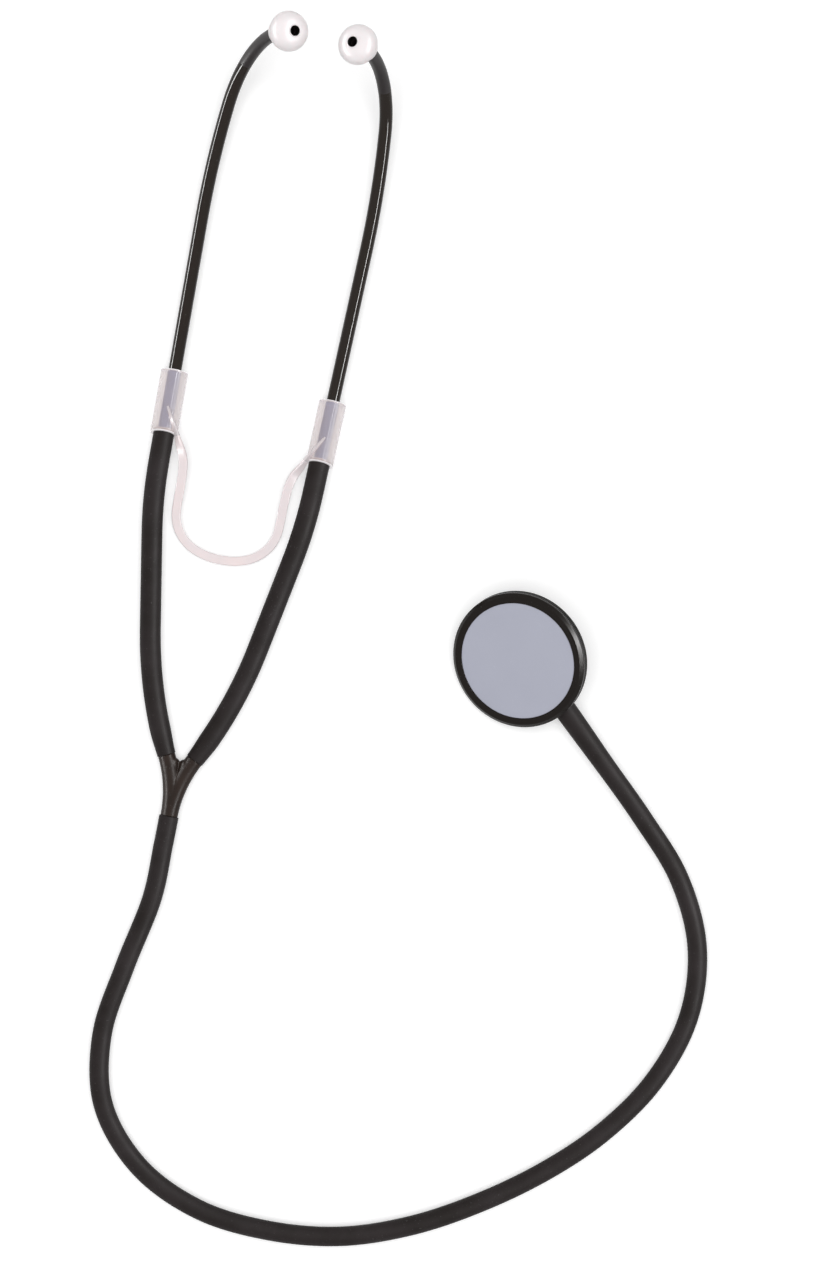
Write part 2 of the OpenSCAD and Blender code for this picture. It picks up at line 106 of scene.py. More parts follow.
# The main hose's route on the table, in millimetres, between the fork's end and the stem's end
ROUTE = [
    (-71.1, -154.5, 3.4), (-80.1, -177, 3.4), (-87.6, -199.5, 3.4), (-87.1, -223, 3.4), (-75.1, -243.5, 3.4),
    (-55.6, -257.5, 3.4), (-32.6, -264.5, 3.4), (-8.6, -266.5, 3.4), (14.9, -263, 3.4), (37.4, -255.5, 3.4),
    (59.4, -245, 3.4), (78.9, -232, 3.4), (95.9, -215, 3.4), (107.4, -194, 3.4), (110.4, -170.5, 3.4),
    (104.4, -147.5, 3.5), (91.9, -127, 4.4), (77.9, -107.3, 5.9),
]


def length(label, about, size_mm):
    """A length, given in millimetres."""
    return FloatProperty(
        name=label, description=about, default=size_mm * MM, min=0, unit="LENGTH", precision=5
    )


def angle(label, about, degrees):
    """An angle, given in degrees."""
    return FloatProperty(name=label, description=about, default=math.radians(degrees), subtype="ANGLE")


def factor(label, about, share):
    """A share from 0 to 1."""
    return FloatProperty(name=label, description=about, default=share, min=0, max=1, subtype="FACTOR")


def wattage(label, about, watts):
    """The power of a lamp."""
    return FloatProperty(name=label, description=about, default=watts, min=0, unit="POWER")


def colour(label, about, red, green, blue):
    """A colour as it reads on a screen, from 0 to 255."""
    linear = [((c / 255 + 0.055) / 1.055) ** 2.4 if c > 10 else c / 255 / 12.92 for c in (red, green, blue)]
    return FloatVectorProperty(
        name=label, description=about, default=linear, size=3, subtype="COLOR", min=0, max=1
    )


class HoseSettings(bpy.types.PropertyGroup):
    main_diameter: length("Main hose", "Outer diameter of the main hose", 6.5)
    main_bore: length("Main bore", "Bore of the main hose", 4)
    end_diameter: length("Stretched end", "Diameter where the main hose is stretched over the stem", 7.5)
    flare: length("Flare", "Length over which the main hose widens", 34)
    bore_depth: length("Bore depth", "How far the main hose's bore goes in from each end", 16)
    branch_diameter: length("Branch hose", "Outer diameter of the two short hoses", 7)
    branch_bore: length("Branch bore", "Bore of the two short hoses", 4.5)
    lip: length("Lip", "Rounding of a hose's cut end", 0.25)
    pinch: length("Pinch", "How much narrower the short hose's lower end is", 0.8)
    taper: length("Taper", "Length over which the short hose narrows there", 9)
    lower_curve: length("Lower curve", "Radius of the short hose's curve above the fork", 147)
    upper_curve: length("Upper curve", "Radius of the short hose's curve below the sleeve", 152)
    middle: length("Middle", "Straight stretch between the curves", 31.5)
    top: length("Top", "Straight stretch that ends in the sleeve's socket", 10.75)
    fork_angle: angle("Fork angle", "Angle of the short hose where it leaves the fork", 26.8)
    middle_angle: angle("Middle angle", "Angle of the straight stretch", 10.2)
    splay: angle("Splay", "Angle of the ear tubes", 1.2)
    rubber: colour("Rubber", "Colour of the hoses", 35, 31, 30)
    bloom: colour("Bloom", "Colour of the pale bloom on the rubber", 52, 47, 48)


class ForkSettings(bpy.types.PropertyGroup):
    arm_curve: length("Arm curve", "Radius of the fork arm's curve", 44)
    inner_curve: length("Inner curve", "Radius of the curve along the arm's inner side", 50)
    web: length("Web", "Thickness of the moulding in the crotch", 5)
    web_top: length("Web top", "Distance from the shoulder to the bottom of the crotch", 18.9)
    voxel: length("Detail", "Size of the smallest form that the moulding keeps", 0.16)
    moulding: colour("Moulding", "Colour of the fork", 38, 30, 26)
    sheen: colour("Worn moulding", "Colour where the fork is rubbed", 54, 42, 36)


class SleeveSettings(bpy.types.PropertyGroup):
    diameter: length("Diameter", "Outer diameter of a sleeve", 9.1)
    length: length("Length", "Length of a sleeve", 21.2)
    bore: length("Bore", "Bore round the ear tube", 4.5)
    socket: length("Socket", "Width of the socket for the hose's end", 7.1)
    socket_depth: length("Socket depth", "Depth of the socket for the hose's end", 1.4)
    rounding: length("Rounding", "Rounding of the sleeve's ends", 0.45)
    strap_width: length("Strap width", "Width of the strap", 3)
    strap_thickness: length("Strap thickness", "Thickness of the strap", 1.3)
    strap_corner: length("Strap corner", "Rounding of the strap's edges", 0.42)
    strap_drop: length("Strap drop", "How far the strap hangs below the sleeves", 37.3)
    wall: colour("Wall", "Colour of the sleeve's milky wall", 246, 228, 226)
    # The rim colour is painted highlight: the cut ends are paler and less see-through than the wall, and
    # glow, for the light they catch
    rim: colour("Rim", "Colour of the sleeve's cut ends", 250, 246, 248)
    core: colour("Core", "Colour of the sleeve's bore, seen through its wall", 85, 108, 156)
    veil: factor("Veil", "How much one wall hides what is behind it", 0.33)
    core_veil: factor("Core veil", "How much the bore hides what is in it", 0.75)
    top_slant: angle("Top slant", "Slant of the sleeve's end at the ear tube", 9)
    low_slant: angle("Low slant", "Slant of the sleeve's end at the hose", 15)
    strap: colour("Strap", "Colour of the strap", 229, 220, 222)


class EarSettings(bpy.types.PropertyGroup):
    tube_diameter: length("Tube", "Outer diameter of the ear tubes", 4.4)
    tube_wall: length("Wall", "Wall of the ear tubes", 0.6)
    tube_lip: length("Tube lip", "Rounding of the ear tubes' ends", 0.15)
    insert: length("Insert", "How far an ear tube reaches into its hose", 8)
    straight: length("Straight", "Straight stretch above the sleeve's lower end", 72.6)
    sweep_curve: length("Sweep curve", "Radius of the long gentle bend", 150)
    sweep_angle: angle("Sweep angle", "Angle of the long gentle bend", 14.6)
    seam: length("Seam", "Short straight stretch between the bends", 1)
    crook_curve: length("Crook curve", "Radius of the tight bend", 31.7)
    crook_angle: angle("Crook angle", "Angle of the tight bend", 74)
    end: length("End", "Straight stretch into the ear tip", 5.9)
    tip_seat: length("Tip seat", "How far the tube reaches past the middle of the tip", 1.4)
    tip_diameter: length("Tip", "Diameter of the ear tip's bulb", 13.3)
    tip_round: length("Tip rounding", "Radius of the bulb's side", 4.3)
    tip_hole: length("Sound hole", "Diameter of the sound hole", 3.4)
    tip_lip: length("Hole lip", "Height of the raised lip round the sound hole", 0.25)
    tip_skirt: length("Skirt", "Length of the skirt behind the bulb's middle", 6)
    skirt_diameter: length("Skirt end", "Diameter of the skirt's end", 8.8)
    satin: length("Satin end", "Length of the satin stretch at the tube's end", 32)
    paint: colour("Paint", "Colour of the ear tubes", 32, 24, 18)
    # The satin stretch's greyer, pinker colour is painted sheen, for the duller light on the bent ends; its
    # roughness is its own
    painted_sheen: colour("Satin paint", "Colour of the satin stretch", 32, 26, 27)
    silicone: colour("Silicone", "Colour of the ear tips", 252, 242, 243)
    # Painted shade: the walls inside the sound hole are near-black for the shade in the hole
    shade: colour("Sound hole", "Colour of the walls inside the sound hole", 14, 12, 11)


class HeadSettings(bpy.types.PropertyGroup):
    ring_diameter: length("Ring", "Outer diameter of the ring", 46)
    ring_height: length("Ring height", "Height of the ring", 4.5)
    ring_back: length("Ring back", "Height of the ring's back edge above the stem axis", 4.1)
    opening: length("Opening", "Diameter of the ring's opening", 39.4)
    lip: length("Lip", "Thickness of the ring's lip", 0.7)
    band: length("Band", "Height of the ring's smooth front band", 1.5)
    bead: length("Bead", "Height of the slanting bead at the ring's front edge", 1.25)
    ridges: IntProperty(name="Ridges", description="Ridges round the ring's grip", default=240, min=12)
    ridge_depth: length("Ridge depth", "Depth of the grip's grooves", 0.3)
    rim: length("Rim", "Diameter of the body's threaded rim", 43)
    rim_wall: length("Rim wall", "Wall of the body's rim", 2)
    pitch: length("Pitch", "Pitch of the rim's thread", 1)
    thread_depth: length("Thread depth", "Depth of the rim's thread", 0.16)
    dish: length("Dish", "Depth of the dish behind the diaphragm", 2.4)
    dish_floor: length("Dish floor", "Diameter of the flat in the middle of the dish", 3)
    film: length("Film", "Thickness of the diaphragm", 0.6)
    film_gap: length("Film gap", "Gap between the diaphragm and the ring's lip", 0.05)
    hub: length("Hub", "Diameter of the flat at the body's back", 11)
    hub_back: length("Hub depth", "Depth of the hub behind the stem axis", 4.2)
    boss: length("Boss", "Diameter of the boss that holds the stem", 7.6)
    boss_reach: length("Boss reach", "Reach of the boss from the middle", 18.8)
    stem_hole: length("Stem hole", "Diameter of the hole in the boss", 5.4)
    stem_depth: length("Stem depth", "Depth of the hole in the boss", 3)
    plastic: colour("Plastic", "Colour of the head and its ring", 23, 18, 15)
    film_colour: colour("Film colour", "Colour of the diaphragm", 174, 176, 190)
    metal: colour("Metal", "Colour of the stem", 150, 148, 150)


class StageSettings(bpy.types.PropertyGroup):
    height: length("Camera height", "Height of the camera over the table", 1600)
    across: length("Camera X", "Place of the camera along X", 15.2)
    along: length("Camera Y", "Place of the camera along Y", -67.3)
    view: length("View height", "Length of table that the picture's height shows", 425)
    sky: factor("Sky", "Strength of the light from all round", 0.2)
    overhead: wattage("Overhead", "Power of the wide soft light above", 900)
    strip: wattage("Strips", "Power of each narrow side light", 58)
    glow: factor("Glow", "How white the camera sees the table", 0.36)
    table: colour("Table", "Colour of the table", 230, 230, 230)


# Meshes

def rounded(corners, closed=False, steps=6, guard=0.06 * MM, reach=0.48):
    """Outline through (across, up, rounding) corners, with an arc at each rounded corner.

    An arc takes at most the reach of the shorter side next to it. A guard point at each of its ends keeps the
    flats flat where the surface is shaded smooth.
    """
    points = []
    count = len(corners)
    for i, (x, y, r) in enumerate(corners):
        here = Vector((x, y))
        if r <= 0 or (not closed and i in (0, count - 1)):
            points.append(here)
            continue
        before = Vector(corners[i - 1][:2]) - here
        after = Vector(corners[(i + 1) % count][:2]) - here
        room = reach * min(before.length, after.length)
        margin = min(guard, room / 4)
        before.normalize()
        after.normalize()
        cut = min(r / math.tan(before.angle(after) / 2), room)
        start, end = here + before * cut, here + after * cut
        points.append(start + before * margin)
        for k in range(steps + 1):
            t = k / steps
            points.append(start.lerp(here, t).lerp(here.lerp(end, t), t))
        points.append(end + after * margin)
    return [(p.x, p.y) for p in points]


def band(low, high):
    """Faces between two rows of a skin, either of which may be a pole."""
    out = []
    count = max(len(low), len(high))
    for j in range(count):
        k = (j + 1) % count
        if len(low) == 1:
            out.append((low[0], high[k], high[j]))
        elif len(high) == 1:
            out.append((low[j], low[k], high[0]))
        else:
            out.append((low[j], low[k], high[k], high[j]))
    return out


def skinned(rings, closed):
    """Points and faces of a skin over rings of points. A ring of one point is a pole."""
    points, rows = [], []
    for ring in rings:
        rows.append(range(len(points), len(points) + len(ring)))
        points += ring
    faces = []
    for low, high in list(zip(rows, rows[1:])) + ([(rows[-1], rows[0])] if closed else []):
        faces += band(low, high)
    return points, faces


def ring_angles(radius, sides):
    """Angles of a ring's points. A ring without a radius has one point."""
    return [2 * math.pi * j / sides for j in range(sides if radius > TINY else 1)]


def turned(profile, place, sides, closed=True, reshape=None):
    """Points and faces of an outline of (radius, height) turned about Z, in a place."""
    rings = []
    for r, z in profile:
        ring = []
        for a in ring_angles(r, sides):
            out = reshape(r, z, a) if reshape else r
            ring.append(place @ Vector((out * math.cos(a), out * math.sin(a), z)))
        rings.append(ring)
    return skinned(rings, closed)


def swept(line, stations, sides, closed):
    """Points and faces of rings of (distance, radius) along a line."""
    rings = []
    for d, r in stations:
        at, side, up = line.at(d)
        rings.append([at + r * (math.cos(a) * side + math.sin(a) * up) for a in ring_angles(r, sides)])
    return skinned(rings, closed)


class Line:
    """A smooth line through close points, with its length and its directions at each distance."""

    def __init__(self, points):
        self.points = [Vector(p) for p in points]
        self.run = [0]
        for a, b in zip(self.points, self.points[1:]):
            self.run.append(self.run[-1] + (b - a).length)
        self.length = self.run[-1]
        last = len(self.points) - 1
        self.headings = [
            (self.points[min(i + 1, last)] - self.points[max(i - 1, 0)]).normalized() for i in range(last + 1)
        ]
        side = self.headings[0].cross(Vector((0, 0, 1))).normalized()
        self.sides = []
        for h in self.headings:
            side = (side - h * side.dot(h)).normalized()
            self.sides.append(side)

    def at(self, d):
        """(point, side, up) at a distance along the line."""
        i = 0
        while i < len(self.run) - 2 and self.run[i + 1] < d:
            i += 1
        t = (d - self.run[i]) / (self.run[i + 1] - self.run[i])
        point = self.points[i].lerp(self.points[i + 1], t)
        t = min(max(t, 0), 1)
        heading = self.headings[i].lerp(self.headings[i + 1], t).normalized()
        side = self.sides[i].lerp(self.sides[i + 1], t)
        side = (side - heading * side.dot(heading)).normalized()
        return point, side, heading.cross(side)


def eased(share):
    """A share from 0 to 1 that starts and ends softly. Below 0 it stays 0."""
    share = max(0, share)
    return share * share * (3 - 2 * share)


def lip_stations(lip, radius, steps=6):
    """Quarter round from a cut end's flat to the side, as (distance from the end, radius)."""
    turns = [QUARTER_TURN * k / steps for k in range(steps + 1)]
    return [(lip * (1 - math.sin(a)), radius - lip * (1 - math.cos(a))) for a in reversed(turns)]


def tube_stations(line, radius_at, bore, lip, step, depth=None):
    """Stations of a tube with rounded ends. Its bore goes right through, or in from each end by a depth."""
    total = line.length
    start = lip_stations(lip, radius_at(0))
    finish = [(total - d, r) for d, r in reversed(lip_stations(lip, radius_at(total)))]
    count = max(2, round((total - 2 * lip) / step))
    middle = [lip + (total - 2 * lip) * k / count for k in range(1, count)]
    outer = start + [(d, radius_at(d)) for d in middle] + finish
    inner = bore / 2
    if depth is None:
        count = max(2, round(total / (2 * step)))
        return [(0, inner)] + outer + [(total * (1 - k / count), inner) for k in range(count)]
    near_end = [(depth, 0), (depth, inner), (0, inner)]
    far_end = [(total, inner), (total - depth, inner), (total - depth, 0)]
    return near_end + outer + far_end


def spline(points, per_span):
    """Points of a smooth curve through points, with the same rule as the solid hose."""
    points = [Vector(p) for p in points]
    last = len(points) - 1
    curve = []
    for i in range(last):
        a, b, c, d = points[max(i - 1, 0)], points[i], points[i + 1], points[min(i + 2, last)]
        out, back = (c - a) / 2, (d - b) / 2
        for k in range(per_span):
            t = k / per_span
            curve.append(
                b + t * out + t * t * (3 * (c - b) - 2 * out - back) + t ** 3 * (2 * (b - c) + out + back)
            )
    return curve + [points[last]]


def bent_line(start, along, toward, stretches, step=1.5 * MM):
    """Points along stretches of (length, radius) that bend towards a side. A radius of 0 is straight."""
    at, a, b = Vector(start), Vector(along).normalized(), Vector(toward)
    b = (b - a * b.dot(a)).normalized()
    points = [at.copy()]
    for size, radius in stretches:
        count = max(2, math.ceil(size / step))
        for k in range(1, count + 1):
            d = size * k / count
            if radius:
                turn = d / radius
                points.append(at + a * radius * math.sin(turn) + b * radius * (1 - math.cos(turn)))
            else:
                points.append(at + a * d)
        if radius:
            turn = size / radius
            a, b = a * math.cos(turn) + b * math.sin(turn), b * math.cos(turn) - a * math.sin(turn)
        at = points[-1].copy()
    return points


def mesh_object(name, points, faces, material, sharp=40):
    """A smooth-shaded object in the scene, with its faces pointing out."""
    mesh = bpy.data.meshes.new(name)
    mesh.from_pydata([tuple(p) for p in points], [], faces)
    mesh.validate()
    dress(mesh, material, sharp)
    obj = bpy.data.objects.new(name, mesh)
    bpy.context.scene.collection.objects.link(obj)
    return obj


def dress(mesh, material, sharp):
    """Turns a mesh's faces outwards, shades it smooth and gives it one material."""
    work = bmesh.new()
    work.from_mesh(mesh)
    bmesh.ops.recalc_face_normals(work, faces=work.faces)
    work.to_mesh(mesh)
    work.free()
    mesh.shade_smooth()
    mesh.set_sharp_from_angle(angle=math.radians(sharp))
    mesh.materials.clear()
    mesh.materials.append(material)


def line_with(obj, material, at, along, radius, ends=None, lean=0.15):
    """Gives a second material to the faces closer to an axis than a radius, such as the walls of a bore.

    The faces that lean towards the axis's direction, at the ends and on their rounding, can have a third one.
    """
    obj.data.materials.append(material)
    if ends:
        obj.data.materials.append(ends)
    for face in obj.data.polygons:
        out = face.center - at
        if ends and abs(face.normal.dot(along)) > lean:
            face.material_index = 2
        elif (out - along * out.dot(along)).length < radius:
            face.material_index = 1


def settle(obj, body=None, nodes=()):
    """Hides the solids that a piece stands for, and ties the piece to its body."""
    if nodes:
        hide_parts(*nodes)
    if body:
        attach(obj, body)


def hide_lamp(lamp, piece):
    """Keeps a lamp's light off a piece, so that its highlights lie on the side where the real ones do."""
    linking = bpy.data.objects[lamp].light_linking
    if linking.receiver_collection is None:
        linking.receiver_collection = bpy.data.collections.new(lamp + " leaves out")
    linking.receiver_collection.objects.link(piece)
    linking.receiver_collection.collection_objects[-1].light_linking.link_state = "EXCLUDE"


def applied(obj):
    """Gives an object the mesh that its modifiers make, and takes them off."""
    view = bpy.context.view_layer
    view.update()
    made = bpy.data.meshes.new_from_object(obj.evaluated_get(view.depsgraph))
    obj.modifiers.clear()
    obj.data = made
    return made


def cast_copy(node, name):
    """A new object with a copy of a solid's mesh."""
    obj = bpy.data.objects.new(name, frame["nodes"][node].data.copy())
    bpy.context.scene.collection.objects.link(obj)
    return obj


# Places of the arms

def arm_axis(side):
    """A point at the sleeve's lower end, and the ear tube's direction there."""
    joint = JOINTS[NAME[side] + "_swivel"]
    along = Vector(joint["axis"])
    return Vector(joint["pos_m"]), along if along.y > 0 else -along


def tip_axis(side):
    """The direction in which an ear tip points."""
    return Vector(JOINTS[NAME[side] + "_tip_pull"]["axis"])


def ear_stretches(ear, before, end):
    """Stretches of an ear tube, from a distance before the sleeve's lower end."""
    return [
        (before + ear.straight, 0),
        (ear.sweep_curve * ear.sweep_angle, ear.sweep_curve),
        (ear.seam, 0),
        (ear.crook_curve * ear.crook_angle, ear.crook_curve),
        (end, 0),
    ]


def facing(at, along):
    """A place with its Z along a direction."""
    return Matrix.Translation(at) @ along.to_track_quat("Z", "Y").to_matrix().to_4x4()


# Materials

# What the finishes share: how close their noises are, and between which values each of them counts
PATCHES_PER_METRE, PATCH_RANGE = 90, (0.35, 0.65)
SPECKS_PER_METRE, SPECK_RANGE = 1500, (0.68, 0.78)
CLOUD_RANGE = (0.35, 0.7)


def new_group(name, inputs, outputs):
    """An empty shader node group with named sockets, or the one that is already there."""
    if name in bpy.data.node_groups:
        return bpy.data.node_groups[name], None, None
    group = bpy.data.node_groups.new(name, "ShaderNodeTree")
    for label, kind, value in inputs:
        socket = group.interface.new_socket(name=label, in_out="INPUT", socket_type=kind)
        socket.default_value = value
    for label, kind in outputs:
        group.interface.new_socket(name=label, in_out="OUTPUT", socket_type=kind)
    return group, group.nodes.new("NodeGroupInput"), group.nodes.new("NodeGroupOutput")


def feed(tree, value, socket):
    """Gives a socket its value, which is a number or another socket."""
    if isinstance(value, (int, float)):
        socket.default_value = value
    else:
        tree.links.new(value, socket)


def noise(tree, scale, detail, rough=0.5):
    """A noise node on the object's own coordinates. The scale is in grains per metre."""
    place = tree.nodes.new("ShaderNodeTexCoord")
    grain = tree.nodes.new("ShaderNodeTexNoise")
    tree.links.new(place.outputs["Object"], grain.inputs["Vector"])
    for label, value in (("Scale", scale), ("Detail", detail), ("Roughness", rough)):
        feed(tree, value, grain.inputs[label])
    return grain.outputs["Fac"]


def spread(tree, value, low, high, to_low, to_high):
    """Maps a value from one range to another."""
    node = tree.nodes.new("ShaderNodeMapRange")
    for label, given in (
        ("Value", value), ("From Min", low), ("From Max", high), ("To Min", to_low), ("To Max", to_high),
    ):
        feed(tree, given, node.inputs[label])
    return node.outputs["Result"]


def combined(tree, operation, first, second):
    """The result of a Math node on two values, such as their sum or the larger one."""
    node = tree.nodes.new("ShaderNodeMath")
    node.operation = operation
    feed(tree, first, node.inputs[0])
    feed(tree, second, node.inputs[1])
    return node.outputs[0]


def blended(tree, share, first, second):
    """A mix of two colours. The sockets of colours in a mix node have the numbers 6, 7 and 2."""
    node = tree.nodes.new("ShaderNodeMix")
    node.data_type = "RGBA"
    tree.links.new(share, node.inputs["Factor"])
    tree.links.new(first, node.inputs[6])
    tree.links.new(second, node.inputs[7])
    return node.outputs[2]


def grain_group():
    """Fine moulded grain: a height for the bump, and a roughness that varies in patches."""
    group, inside, out = new_group(
        "Moulded grain",
        [
            ("Grains per metre", "NodeSocketFloat", 4000), ("Roughness", "NodeSocketFloat", 0.5),
            ("Roughness spread", "NodeSocketFloat", 0.1),
        ],
        [("Height", "NodeSocketFloat"), ("Roughness", "NodeSocketFloat")],
    )
    if inside is None:
        return group
    height = noise(group, inside.outputs["Grains per metre"], 4, 0.6)
    patches = noise(group, PATCHES_PER_METRE, 2)
    less, more = (
        combined(group, operation, inside.outputs["Roughness"], inside.outputs["Roughness spread"])
        for operation in ("SUBTRACT", "ADD")
    )
    group.links.new(height, out.inputs["Height"])
    group.links.new(spread(group, patches, *PATCH_RANGE, less, more), out.inputs["Roughness"])
    return group


def handled_group():
    """Uneven colour of a handled surface: soft clouds, and pale specks of dust."""
    group, inside, out = new_group(
        "Handled colour",
        [
            ("Colour", "NodeSocketColor", (0.1, 0.1, 0.1, 1)),
            ("Cloud", "NodeSocketColor", (0.2, 0.2, 0.2, 1)),
            ("Cloud share", "NodeSocketFloat", 0.5), ("Clouds per metre", "NodeSocketFloat", 60),
            ("Dust", "NodeSocketColor", (0.5, 0.5, 0.5, 1)), ("Dust share", "NodeSocketFloat", 0.1),
        ],
        [("Colour", "NodeSocketColor")],
    )
    if inside is None:
        return group
    clouds = noise(group, inside.outputs["Clouds per metre"], 4, 0.55)
    cloud_share = spread(group, clouds, *CLOUD_RANGE, 0, inside.outputs["Cloud share"])
    specks = noise(group, SPECKS_PER_METRE, 2, 0.4)
    speck_share = spread(group, specks, *SPECK_RANGE, 0, inside.outputs["Dust share"])
    base = blended(group, cloud_share, inside.outputs["Colour"], inside.outputs["Cloud"])
    group.links.new(blended(group, speck_share, base, inside.outputs["Dust"]), out.inputs["Colour"])
    return group


def placed(tree, group, **values):
    """A group node in a material, with its inputs set. An underscore stands for a space in a name."""
    node = tree.nodes.new("ShaderNodeGroup")
    node.node_tree = group
    for label, value in values.items():
        node.inputs[label.replace("_", " ")].default_value = value
    return node


def finish_material(name, colours, roughness, bump, grains, specular=0.5, sockets=None, rough_spread=0.06,
                    clouds=60, cloud_share=0.6, dust=(0.5, 0.5, 0.5), dust_share=0.0):
    """A Principled material whose colour, roughness and bump vary over the surface.

    Grains and clouds are counted per metre, and the bump is a height.
    """
    if name in bpy.data.materials:
        return bpy.data.materials[name]
    material = bpy.data.materials.new(name)
    material.use_nodes = True
    tree = material.node_tree
    shader = next(n for n in tree.nodes if n.type == "BSDF_PRINCIPLED")
    colour_node = placed(
        tree, handled_group(), Colour=(*colours[0], 1), Cloud=(*colours[1], 1), Cloud_share=cloud_share,
        Clouds_per_metre=clouds, Dust=(*dust, 1), Dust_share=dust_share,
    )
    tree.links.new(colour_node.outputs["Colour"], shader.inputs["Base Color"])
    grain_node = placed(
        tree, grain_group(), Grains_per_metre=grains, Roughness=roughness, Roughness_spread=rough_spread
    )
    tree.links.new(grain_node.outputs["Roughness"], shader.inputs["Roughness"])
    raised = tree.nodes.new("ShaderNodeBump")
    raised.inputs["Strength"].default_value = 1
    raised.inputs["Distance"].default_value = bump
    tree.links.new(grain_node.outputs["Height"], raised.inputs["Height"])
    tree.links.new(raised.outputs["Normal"], shader.inputs["Normal"])
    for label, value in {"Specular IOR Level": specular, **(sockets or {})}.items():
        shader.inputs[label].default_value = value
    return material


def soaked(weight, depth):
    """Sockets of a soft material that light soaks into, red a little deeper than the rest."""
    return {"Subsurface Weight": weight, "Subsurface Scale": depth, "Subsurface Radius": (1, 0.85, 0.85)}


def hose_rubber(hose):
    return finish_material(
        "Matte hose rubber", (hose.rubber, hose.bloom), roughness=0.55, bump=0.03 * MM, specular=0.09,
        grains=2600, rough_spread=0.05, clouds=70, cloud_share=0.7, dust_share=0.07,
    )


def fork_plastic(fork):
    return finish_material(
        "Satin fork plastic", (fork.moulding, fork.sheen), roughness=0.42, bump=0.008 * MM, specular=0.1,
        grains=1800, clouds=160, cloud_share=0.5, dust_share=0.1,
    )


def tube_paint(ear):
    return finish_material(
        "Glossy tube paint", (ear.paint, ear.paint), roughness=0.1, bump=0.002 * MM, specular=0.21,
        grains=1200, rough_spread=0.02, dust_share=0.05,
    )


# Painted sheen: a rougher stretch whose greyer, pinker colour stands in for the sheen near the tips
def tube_satin(ear):
    return finish_material(
        "Satin tube end", (ear.painted_sheen, ear.painted_sheen), roughness=0.38, bump=0.003 * MM, specular=0.28,
        grains=1200, rough_spread=0.04, dust_share=0.05,
    )


def head_plastic(head):
    return finish_material(
        "Glossy head plastic", (head.plastic, head.plastic), roughness=0.22, bump=0.004 * MM, specular=0.14,
        grains=1500, rough_spread=0.04, dust_share=0.05,
    )


# Painted shade: a near-black finish for the walls inside the sound hole
def hole_shade(ear):
    return finish_material(
        "Sound hole", (ear.shade, ear.shade), roughness=0.6, bump=0.01 * MM, specular=0.2, grains=2200
    )


def tip_silicone(ear):
    return finish_material(
        "Soft tip silicone", (ear.silicone, ear.silicone), roughness=0.36, bump=0.01 * MM, specular=0.3,
        sockets=soaked(0.5, 2.5 * MM), grains=2200, rough_spread=0.05,
    )


def sleeve_vinyl(sleeve, name, shade, veil, cloud_share=0.0, glow=0.0):
    """See-through vinyl. The veil is how much it hides, and the glow is painted light: an emission that makes
    it shine though it is no lamp.
    """
    material = finish_material(
        name, (shade, sleeve.rim), roughness=0.3, bump=0.01 * MM,
        sockets={"Alpha": veil, "Emission Color": (*sleeve.rim, 1), "Emission Strength": glow},
        grains=1500, clouds=130, cloud_share=cloud_share,
    )
    material.surface_render_method = "BLENDED"
    return material


def strap_vinyl(sleeve):
    return finish_material(
        "Milky strap vinyl", (sleeve.strap, sleeve.wall), roughness=0.34, bump=0.012 * MM,
        sockets=soaked(0.2, 1.5 * MM), grains=1500,
    )


def film_finish(head):
    lift = 1.04
    paler = [min(1, c * lift) for c in head.film_colour]
    return finish_material(
        "Diaphragm film", (head.film_colour, paler), roughness=0.32, bump=0.004 * MM, specular=0.25,
        grains=3500, rough_spread=0.04, clouds=40, dust=(0.8, 0.8, 0.85), dust_share=0.1,
    )


def stem_metal(head):
    return finish_material(
        "Turned stem metal", (head.metal, head.metal), roughness=0.3, bump=0.01 * MM, sockets={"Metallic": 1},
        grains=2500,
    )


# Pieces

def execute_with(build):
    """The execute method of an operator that calls one building function."""
    def execute(self, context):
        build(context.scene)
        return {"FINISHED"}
    return execute


def build_main_hose(scene):
    hose = scene.stethoscope_hose
    head = scene.stethoscope_head
    lead, gap = 10 * MM, 0.3 * MM
    hose_end = head.boss_reach + gap
    points = (
        [FORK @ Vector((0, 0, 0)), FORK @ Vector((0, -lead, 0))]
        + [Vector(p) * MM for p in ROUTE]
        + [HEAD @ Vector((hose_end + lead, 0, 0)), HEAD @ Vector((hose_end, 0, 0))]
    )
    line = Line(spline(points, per_span=12))

    def radius_at(d):
        wider = (hose.end_diameter - hose.main_diameter) * eased(1 - (line.length - d) / hose.flare)
        return (hose.main_diameter + wider) / 2

    stations = tube_stations(line, radius_at, hose.main_bore, hose.lip, MAIN_STEP, depth=hose.bore_depth)
    points, faces = swept(line, stations, TUBE_SIDES, closed=False)
    obj = mesh_object("main_hose", points, faces, hose_rubber(hose), sharp=70)
    settle(obj, "hub", ["main_tube"])
    hide_lamp(STRIP[LEFT], obj)
    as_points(line.points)


def branch_line(hose, fork, side):
    """Centre line of a short hose, from the fork arm's end to the sleeve's socket."""
    turn = hose.fork_angle
    start = Vector((side * fork.arm_curve * (1 - math.cos(turn)), fork.arm_curve * math.sin(turn), 0))
    along = Vector((side * math.sin(turn), math.cos(turn), 0))
    toward = Vector((-side * math.cos(turn), math.sin(turn), 0))
    spin = FORK.to_3x3()
    return Line(bent_line(FORK @ start, spin @ along, spin @ toward, [
        (hose.lower_curve * (turn - hose.middle_angle), hose.lower_curve),
        (hose.middle, 0),
        (hose.upper_curve * (hose.middle_angle - hose.splay), hose.upper_curve),
        (hose.top, 0),
    ]))


